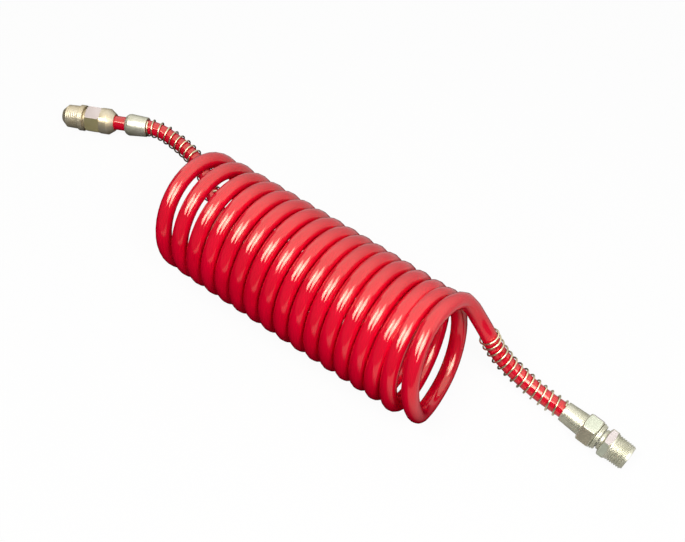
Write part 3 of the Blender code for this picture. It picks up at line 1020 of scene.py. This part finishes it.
@dataclass
class FixedEnd(PipeEnd):
    """End A: pipe-threaded body, flanged, with its nut, collar and spring guard."""

    tube_end: float = 0.0302
    collar_start: float = 0.0601
    guard: Guard = field(
        default_factory=lambda: Guard("guard_spring_a", 0.1060, 15.0, (0.75, 0.75))
    )
    guard_opening: float = 0.022
    thread_length: float = 0.0157
    thread_depth: float = 0.00008
    nose: tuple[float, float] = (0.0062, 0.0044)
    flange_radius: float = 0.0118
    flange_end: float = 0.0204
    body_tail: float = 0.0089
    body_end: float = 0.0362
    socket_start: float = 0.0290
    nut_start: float = 0.0228
    nut_face: float = 0.0106
    nut_skirt: float = 0.0367
    nut_end: float = 0.0491
    nut_turned: float = math.radians(7.0)
    chamber_end: float = 0.0392
    chamber_slope: float = 0.0012
    skirt_radius: float = 0.0118
    skirt_nose: tuple[float, float] = (0.0079, 0.0054)
    # Which flat tint faces down; it sets where the flats' painted light and shade fall.
    first_tint: int = 0
    collar_large: float = 0.0100
    collar_small: float = 0.0089
    collar_nose: tuple[float, float] = (0.0080, 0.0035)
    collar_shoulder: tuple[float, float] = (0.0007, 0.45)
    collar_round: float = 0.0003
    collar_crease: float = 12.0

    def body(self) -> bpy.types.Object:
        """Turn the threaded body: nose, thread, flange, relief and the tail inside the nut."""
        fit = self.fit
        flange = self.flange_radius
        outline = fit.thread(self.thread_length, self.nose) + [
            (flange - fit.edge, self.thread_length),
            (flange, self.thread_length + fit.edge),
            (flange, self.flange_end - fit.edge),
            (flange - fit.edge, self.flange_end),
            (self.body_tail, self.flange_end),
            (self.body_tail, self.body_end),
            (fit.tube_hole, self.body_end),
            (fit.tube_hole, self.socket_start),
            (fit.bore, self.socket_start),
            (fit.bore, 0.0),
        ]
        piece = turn("fixed_body", outline)
        span = (self.nose[1], self.thread_length)
        cut_thread(piece, span, fit.bore, fit.thread_pitch, self.thread_depth)
        smooth_thread(piece, span, fit.bore)
        return self.seat(piece, self.finishes.plate_a, "npt_body_a", Body.HOSE)

    def nut(self) -> bpy.types.Object:
        """Turn the nut, mill its hexagon and leave its round skirt."""
        fit = self.fit
        nose_radius, nose_length = self.skirt_nose
        chamber = self.body_tail + fit.gap
        outline = fit.hexagon(self.nut_start, self.nut_skirt, self.nut_face, self.skirt_radius)
        outline += [
            (self.skirt_radius, self.nut_end - nose_length),
            (nose_radius, self.nut_end),
            (fit.tube_hole, self.nut_end),
            (fit.tube_hole, self.chamber_end + self.chamber_slope),
            (chamber, self.chamber_end),
            (chamber, self.nut_start),
        ]
        piece = turn("fixed_nut", outline)
        before = self.nut_start - fit.overcut
        cut_flats(piece, before, self.nut_skirt, fit.hex_across, self.nut_turned)
        soften(piece, fit.nut_round)
        number_flats(piece, fit.hex_across, self.nut_turned, self.first_tint)
        return self.seat(piece, self.finishes.plate_a, "nut_a", Body.HOSE)

    def collar(self) -> bpy.types.Object:
        """Turn the tapered collar that slides on the tube."""
        fit = self.fit
        start = self.collar_start
        nose_radius, nose_length = self.collar_nose
        below, share = self.collar_shoulder
        outline = [
            (nose_radius, start),
            (self.collar_large - below, start + nose_length * share),
            (self.collar_large, start + nose_length),
            (self.collar_small, self.collar_end - fit.edge),
            (self.collar_small - fit.edge, self.collar_end),
        ]
        piece = turn("sliding_collar_sleeve", outline + fit.collar_bore(start))
        soften(piece, self.collar_round, self.collar_crease)
        return self.seat(piece, self.finishes.plate_b, "collar_a", Body.COLLAR)

    def spring(self, path: Path) -> bpy.types.Object:
        """Wind the guard from the collar towards the coil.

        It rides on no body, since the lead bends further on and turns that moved there would
        cut into the tube.
        """
        piece = self.guard.build(path, self.guard_start)
        finish_piece(piece, self.finishes.spring, ("spring_guard_a",), None)
        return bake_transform(piece)


@dataclass
class SwivelEnd(PipeEnd):
    """End B: the swivelling stem, the body it turns in, the nut, collar and spring guard."""

    tube_end: float = 0.0319
    collar_start: float = 0.0365
    guard: Guard = field(
        default_factory=lambda: Guard("guard_spring_b", 0.0850, 13.5, (0.0, 1.0))
    )
    thread_start: float = 0.0004
    thread_length: float = 0.0147
    thread_depth: float = 0.0008
    nose: tuple[float, float] = (0.0090, 0.0015)
    hex_end: float = 0.0210
    hex_faces: tuple[float, float] = (0.0110, 0.0101)
    neck_radius: float = 0.0084
    # Which flat tint faces down; it sets where the flats' painted light and shade fall.
    stem_tint: int = 0
    journal_start: float = 0.0230
    journal_end: float = 0.0296
    journal_radius: float = 0.0061
    journal_rim: float = 0.0020
    journal_groove: float = 0.0008
    journal_bore: float = 0.0034
    journal_play: float = 0.00025
    bore_step: float = 0.0006
    head_start: float = 0.0241
    head_end: float = 0.0271
    head_radius: float = 0.0102
    head_round: float = 0.0002
    ridge_radius: float = 0.0108
    ridge_length: float = 0.0013
    socket_end: float = 0.0307
    tail_radius: float = 0.0083
    tail_end: float = 0.0325
    nut_start: float = 0.0274
    nut_end: float = 0.0392
    nut_face: float = 0.0104
    # Which flat tint faces down; it sets where the flats' painted light and shade fall.
    nut_tint: int = 5
    recess_depth: float = 0.0030
    recess_wall: float = 0.0010
    chamber_slope: float = 0.0006
    collar_large: float = 0.0092
    collar_small: float = 0.0081
    collar_lip: float = 0.0002
    collar_sides: int = 144
    collar_rings: int = 14
    ring_margin: float = 0.0008
    ring_depth: float = 0.00010
    # Each ring's outline: how far along the ring, and how much of its depth is sunk there.
    ring_shape: Knots = ((0.0, 0.0), (0.55, 0.0), (0.7, 1.0), (0.85, 1.0))

    def stem(self) -> bpy.types.Object:
        """Turn the stem: thread, hexagon, neck and the journal inside the swivel body."""
        fit = self.fit
        groove = self.journal_radius - self.journal_groove
        outline = fit.thread(self.thread_length, self.nose)
        outline += fit.hexagon(self.thread_length, self.hex_end, *self.hex_faces)
        outline += [
            (self.neck_radius, self.hex_end),
            (self.neck_radius, self.journal_start),
            (self.journal_radius, self.journal_start),
            (groove, self.journal_start + self.journal_rim),
            (groove, self.journal_end),
            (self.journal_bore, self.journal_end),
            (self.journal_bore, self.hex_end),
            (fit.bore, self.hex_end - self.bore_step),
            (fit.bore, 0.0),
        ]
        piece = turn("swivel_stem_piece", outline)
        span = (self.thread_start, self.thread_length)
        cut_thread(piece, span, fit.bore, fit.thread_pitch, self.thread_depth)
        cut_flats(piece, self.thread_length, self.hex_end + fit.overcut, fit.hex_across)
        number_flats(piece, fit.hex_across, 0.0, self.stem_tint)
        smooth_thread(piece, span, fit.bore)
        return self.seat(piece, self.finishes.plate_b, "swivel_stem_b", Body.STEM)

    def head(self) -> bpy.types.Object:
        """Turn the swivel body: its visible head and ridge, and the tail inside the nut."""
        fit = self.fit
        socket = self.journal_radius + self.journal_play
        ridge_start = self.head_end - self.ridge_length
        outline = [
            (self.head_radius - fit.edge, self.head_start),
            (self.head_radius, self.head_start + fit.edge),
            (self.head_radius, ridge_start),
            (self.ridge_radius, ridge_start + fit.edge),
            (self.ridge_radius, self.head_end),
            (self.tail_radius, self.head_end),
            (self.tail_radius, self.tail_end),
            (fit.tube_hole, self.tail_end),
            (fit.tube_hole, self.socket_end),
            (socket, self.socket_end),
            (socket, self.head_start),
        ]
        piece = turn("swivel_body_piece", outline)
        soften(piece, self.head_round)
        return self.seat(piece, self.finishes.plate_b, "swivel_body_b", Body.END_B)

    def nut(self) -> bpy.types.Object:
        """Turn the nut, mill its hexagon and sink the recess that holds the collar."""
        fit = self.fit
        chamber = self.tail_radius + fit.gap
        recess = self.collar_large + fit.gap
        recess_start = self.nut_end - self.recess_depth
        wall_start = recess_start - self.recess_wall
        outline = fit.hexagon(self.nut_start, self.nut_end, self.nut_face, self.nut_face) + [
            (recess, self.nut_end),
            (recess, recess_start),
            (fit.tube_hole, recess_start),
            (fit.tube_hole, wall_start),
            (chamber, wall_start - self.chamber_slope),
            (chamber, self.nut_start),
        ]
        piece = turn("swivel_nut", outline)
        cut_flats(
            piece, self.nut_start - fit.overcut, self.nut_end + fit.overcut, fit.hex_across
        )
        soften(piece, fit.nut_round)
        number_flats(piece, fit.hex_across, 0.0, self.nut_tint)
        return self.seat(piece, self.finishes.plate_b, "nut_b", Body.END_B)

    def collar(self) -> bpy.types.Object:
        """Turn the ringed collar that is pushed into the nut's recess."""
        fit = self.fit
        start = self.collar_start
        end = self.collar_end
        slope = (self.collar_small - self.collar_large) / fit.collar_length
        outline = [(self.collar_large - fit.edge, start), (self.collar_large, start + fit.edge)]
        first = self.nut_end + self.ring_margin
        step = (end - self.ring_margin - first) / self.collar_rings
        for i in range(self.collar_rings):
            for share, sunk in self.ring_shape:
                station = first + step * (i + share)
                radius = self.collar_large + slope * (station - start)
                outline.append((radius - self.ring_depth * sunk, station))
        outline += [(self.collar_small, end - fit.edge), (self.collar_small - self.collar_lip, end)]
        outline += fit.collar_bore(start)
        piece = turn("swivel_collar_sleeve", outline, self.collar_sides)
        inside = fit.tube_hole + self.ring_margin
        rib(piece, (first, end - fit.edge), inside, self.ring_depth, self.collar_sides)
        smooth(piece, 40.0)
        return self.seat(piece, self.finishes.plate_b, "collar_b", Body.END_B)

    def spring(self, path: Path) -> bpy.types.Object:
        """Wind the guard from the collar up towards the coil."""
        piece = self.guard.build(path, self.guard_start)
        return finish_piece(
            piece, self.finishes.spring, ("spring_guard_b",), Body.END_B
        )


def aim(thing: bpy.types.Object, place_at: Place, target: Place) -> None:
    """Stand a camera, lamp or sheet at a place, with its underside facing a target."""
    look = Vector(target) - Vector(place_at)
    thing.location = place_at
    thing.rotation_euler = look.to_track_quat("-Z", "Y").to_euler()


def object_place(tree: bpy.types.NodeTree) -> bpy.types.Node:
    """Add the nodes that give a point's place on its object, split into X, Y and Z."""
    where = add_node(tree, "ShaderNodeTexCoord")
    return add_node(tree, "ShaderNodeSeparateXYZ", inputs={"Vector": where.outputs["Object"]})


@dataclass
class Studio:
    """A white sweep, a white card beyond the coil, two small softboxes and the camera.

    The camera's own side of the room is dark, so the tube shows its plain red there and mirrors
    the white only where it faces up and away.
    """

    camera_place: Place = (0.2688, -0.3050, 0.6507)
    camera_target: Place = (0.0428, 0.0027, 0.0628)
    focal_pixels: float = 922.0
    image_width: float = 685.0
    sensor: float = 36.0
    near_clip: float = 0.01
    white: str = "#FFFFFF"
    floor_size: float = 8.0
    floor_height: float = -0.0002
    floor_glow: float = 0.94
    paper_roughness: float = 0.9
    paper_seen: str = "#F6F6F4"
    paper_lighting: str = "#747472"
    mirrored_beyond: tuple[float, float] = (0.10, 0.16)
    mirrored_beside: tuple[float, float] = (0.16, 0.22)
    mirrored_low: float = 0.7
    mirrored_white: float = 1.65
    card_width: float = 6.0
    card_height: float = 1.7
    card_front: float = -0.85
    card_back: float = 0.95
    lamps: tuple[tuple[str, Place], ...] = (
        ("right softbox", (0.69, -0.25, 0.90)),
        ("front softbox", (-0.09, -0.46, 1.05)),
    )
    lamp_target: Place = (0.03, 0.0, 0.05)
    lamp_size: tuple[float, float] = (0.30, 0.40)
    lamp_power: float = 4.9
    diffuser_side: float = 0.66
    diffuser_white: float = 9.0
    world_lighting: float = 0.34
    world_seen: float = 1.0
    world_mirrored: float = 0.10

    def camera(self) -> None:
        """Place the camera and make it the scene's own."""
        data = bpy.data.cameras.new("camera")
        data.sensor_fit = "HORIZONTAL"
        data.sensor_width = self.sensor
        data.lens = self.sensor * self.focal_pixels / self.image_width
        data.clip_start = self.near_clip
        camera = put_in_scene("camera", data)
        aim(camera, self.camera_place, self.camera_target)
        bpy.context.scene.camera = camera

    def floor(self) -> None:
        """Lay the pale floor, which shows nearly white and keeps a soft shadow.

        Reflections see it white beyond the coil and beside it, and dark below it.
        """
        floor = add_sheet("studio_floor", self.floor_size)
        floor.location.z = self.floor_height
        paper = Coating("matt white paper sweep", metallic=0.0)
        tree = paper.tree
        paper.shader.inputs["Roughness"].default_value = self.paper_roughness
        paper.shader.inputs["Specular IOR Level"].default_value = 0.0
        seen = add_node(tree, "ShaderNodeLightPath")
        by_camera = seen.outputs["Is Camera Ray"]
        shade = add_node(
            tree,
            "ShaderNodeMixRGB",
            inputs={
                "Fac": by_camera,
                "Color1": tint(self.paper_lighting),
                "Color2": tint(self.paper_seen),
            },
        )
        paper.feed("Base Color", shade.outputs["Color"])
        split = object_place(tree)
        fades = []
        for axis, (near, far) in (("Y", self.mirrored_beyond), ("X", self.mirrored_beside)):
            limits = {"Value": split.outputs[axis], "From Min": near, "From Max": far}
            fades.append(add_node(tree, "ShaderNodeMapRange", inputs=limits).outputs["Result"])
        brighter = add_node(
            tree, "ShaderNodeMath", {"operation": "MAXIMUM"}, {0: fades[0], 1: fades[1]}
        )
        strength = add_node(
            tree,
            "ShaderNodeMath",
            {"operation": "MULTIPLY"},
            {0: brighter.outputs["Value"], 1: self.mirrored_low},
        )
        share = add_node(
            tree, "ShaderNodeMath", {"operation": "MULTIPLY"}, {0: by_camera, 1: self.floor_glow}
        )
        white = tint(self.white)
        glow = add_node(tree, "ShaderNodeEmission", inputs={"Color": white})
        mirrored = add_node(
            tree,
            "ShaderNodeEmission",
            inputs={"Color": white, "Strength": strength.outputs["Value"]},
        )
        lit = add_node(
            tree,
            "ShaderNodeMixShader",
            inputs={0: share.outputs["Value"], 1: paper.shader.outputs[0], 2: glow.outputs[0]},
        )
        mixed = add_node(
            tree,
            "ShaderNodeMixShader",
            inputs={0: seen.outputs["Is Glossy Ray"], 1: lit.outputs[0], 2: mirrored.outputs[0]},
        )
        tree.links.new(mixed.outputs[0], tree.nodes["Material Output"].inputs["Surface"])
        floor.data.materials.append(paper.material)

    def card(self) -> None:
        """Bend a white card up beyond the coil and over it, seen by reflections only."""
        card = add_sheet("white_card", side=1.0)
        card.scale = (self.card_width, self.card_back - self.card_front, 1.0)
        card.location = (0.0, (self.card_front + self.card_back) / 2, self.card_height)
        bpy.ops.object.transform_apply(location=True, rotation=True, scale=True)
        bpy.ops.object.mode_set(mode="EDIT")
        bpy.ops.mesh.select_all(action="DESELECT")
        bpy.ops.object.mode_set(mode="OBJECT")
        for edge in card.data.edges:
            ends = [card.data.vertices[index].co.y for index in edge.vertices]
            edge.select = min(ends) > (self.card_front + self.card_back) / 2
        bpy.ops.object.mode_set(mode="EDIT")
        bpy.ops.mesh.extrude_region_move(
            TRANSFORM_OT_translate={"value": (0.0, 0.0, -self.card_height)}
        )
        bpy.ops.object.mode_set(mode="OBJECT")
        self.mirrored_only(card, self.mirrored_low, self.mirrored_white)

    def mirrored_only(self, sheet: bpy.types.Object, low: float, high: float) -> None:
        """Make a sheet glow white to reflections alone.

        Args:
            sheet: The sheet.
            low: How bright its reflection is at the floor.
            high: How bright its reflection is half-way up and above.
        """
        coating = Coating(sheet.name, metallic=0.0)
        tree = coating.tree
        tree.nodes.remove(coating.shader)
        rise = add_node(
            tree,
            "ShaderNodeMapRange",
            inputs={
                "Value": object_place(tree).outputs["Z"],
                "From Max": self.card_height / 2,
                "To Min": low,
                "To Max": high,
            },
        )
        glow = add_node(
            tree,
            "ShaderNodeEmission",
            inputs={"Color": tint(self.white), "Strength": rise.outputs["Result"]},
        )
        tree.links.new(glow.outputs[0], tree.nodes["Material Output"].inputs["Surface"])
        sheet.data.materials.append(coating.material)
        sheet.visible_camera = False
        sheet.visible_diffuse = False
        sheet.visible_shadow = False

    def lamp(self, name: str, place_at: Place) -> None:
        """Hang one softbox aimed at the coil, with a wide diffuser that reflections see.

        Args:
            name: The lamp's name.
            place_at: Where it hangs.
        """
        data = bpy.data.lights.new(name, "AREA")
        data.shape = "RECTANGLE"
        data.size, data.size_y = self.lamp_size
        data.energy = self.lamp_power
        aim(put_in_scene(name, data), place_at, self.lamp_target)
        sheet = add_sheet(name + " diffuser", self.diffuser_side)
        aim(sheet, place_at, self.lamp_target)
        bpy.ops.object.transform_apply(location=True, rotation=True, scale=True)
        self.mirrored_only(sheet, self.diffuser_white, self.diffuser_white)

    def world(self) -> None:
        """Surround the set with an even pale light: white to the camera, dark in reflections."""
        world = bpy.data.worlds.new("white surround")
        bpy.context.scene.world = world
        world.use_nodes = True
        tree = world.node_tree
        seen = add_node(tree, "ShaderNodeLightPath")
        strength = self.world_lighting
        for ray, value in (("Camera", self.world_seen), ("Glossy", self.world_mirrored)):
            limits = {"Value": seen.outputs[f"Is {ray} Ray"], "To Min": strength, "To Max": value}
            strength = add_node(tree, "ShaderNodeMapRange", inputs=limits).outputs["Result"]
        back = tree.nodes["Background"]
        back.inputs["Color"].default_value = tint(self.white)
        tree.links.new(strength, back.inputs["Strength"])

    def build(self) -> None:
        """Set up the whole studio."""
        self.camera()
        self.floor()
        self.card()
        self.world()
        for name, place_at in self.lamps:
            self.lamp(name, place_at)
        bpy.context.scene.view_settings.view_transform = "Standard"


def fitting_axis(record: dict, mount: str, height: float) -> Axis:
    """Read a fitting's axis from the face mount on its tip.

    Args:
        record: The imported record.
        mount: The mount's name.
        height: The axis's height over the ground.

    Returns:
        The fitting's axis.
    """
    face = next(item for item in record["mounts"] if item["name"] == mount)
    tip = Vector((face["pos_m"][0], face["pos_m"][1], height))
    return Axis(tip, -Vector(face["axis"]).normalized())


def dress_hidden(nodes: dict[str, bpy.types.Object], finishes: Finishes) -> None:
    """Give the small pieces inside the fittings their own finishes."""
    finish_of = {
        "ferrule_a": finishes.brass,
        "ferrule_b": finishes.brass,
        "tube_insert_a": finishes.brass,
        "tube_insert_b": finishes.brass,
        "o_ring_b": finishes.rubber,
        "thrust_washer_b": finishes.acetal,
        "retaining_wire_b": finishes.spring,
    }
    for name, material in finish_of.items():
        data = nodes[name].data
        data.materials.clear()
        data.materials.append(material)
        LOG.info("%s: dressed", name)


def main() -> None:
    """Load the frame, build every piece around it, and set up the studio."""
    logging.basicConfig(level=logging.INFO, format="%(message)s")
    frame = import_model()
    record = frame["record"]
    finishes = Finishes.build()
    fit = Fit()
    hose = Hose()
    Studio().build()

    axis_a = fitting_axis(record, "end_a_face", FixedEnd.flange_radius)
    axis_b = fitting_axis(record, "end_b_face", fit.hex_across / 2)
    end_a = FixedEnd(axis_a, finishes, fit)
    end_b = SwivelEnd(axis_b, finishes, fit)

    coil = hose.coil()
    apart, count = hose.join_spacing, hose.join_points
    path_a = hose.lead(end_a, hose.route_a, coil[::-apart][:count])
    path_b = hose.lead(end_b, hose.route_b, coil[::apart][:count])
    line = path_b.even(hose.lead_spacing)[:-1] + coil[:-1] + path_a.even(hose.lead_spacing)[::-1]
    tube = round_bar("air_tube", line, hose.diameter / 2, hose.roundness)
    finish_piece(
        tube, finishes.nylon, ("hose_coil", "hose_lead_a", "hose_lead_b"), None
    )

    end_a.body()
    end_a.nut()
    end_a.collar()
    end_a.spring(path_a)
    far_end = [end_b.stem(), end_b.head(), end_b.nut(), end_b.collar(), end_b.spring(path_b)]
    dress_hidden(frame["nodes"], finishes)
    inner = ("ferrule_b", "tube_insert_b", "o_ring_b", "thrust_washer_b", "retaining_wire_b")
    far_end += [frame["nodes"][name] for name in inner]

    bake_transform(tube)
    whole = Path(line).reached[-1]
    LOG.info("tube length %.3f m", whole)
    tuple(end_a.axis.at(end_a.tube_end))


if __name__ == "__main__":
    main()
